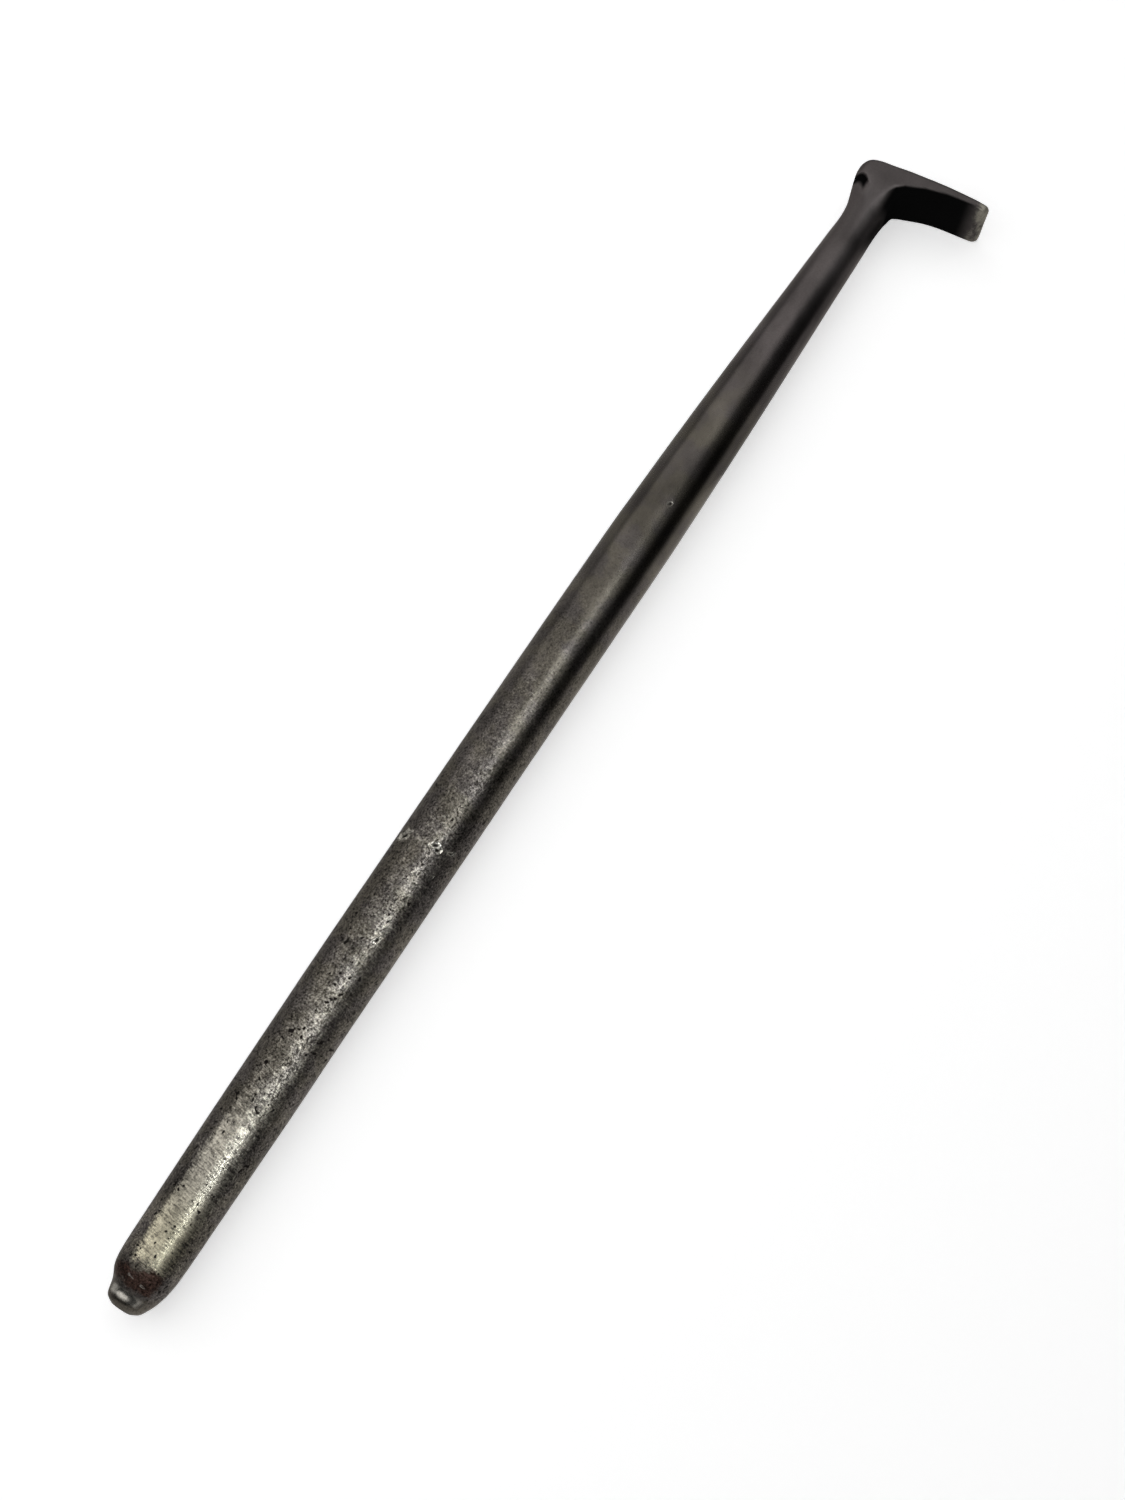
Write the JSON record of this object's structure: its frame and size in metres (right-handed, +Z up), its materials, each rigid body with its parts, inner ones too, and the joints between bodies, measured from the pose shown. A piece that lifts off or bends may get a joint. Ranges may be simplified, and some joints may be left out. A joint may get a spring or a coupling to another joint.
{
  "type": "rolling-head pry bar",
  "caption": "Forged round steel pry bar with a blunt dressed tip, a long tapering shaft, and a right-angled rolling head with a thin chisel foot.",
  "frame": {"origin": "under the middle of the object's box, on the surface that the bar lies on", "axes": "+X along the bar from the blunt tip to the head, +Z up with the bar lying on its side, and the foot of the head points to -Y"},
  "size_m": [0.3916, 0.0412, 0.0198],
  "materials": {
    "forged_steel": "dark forged skin worn to grey steel, pitted, satin; ground brighter near the tip and at the cutting edge"
  },
  "bodies": {
    "root": {"forged_bar": "forged_steel"}
  },
  "joints": []
}
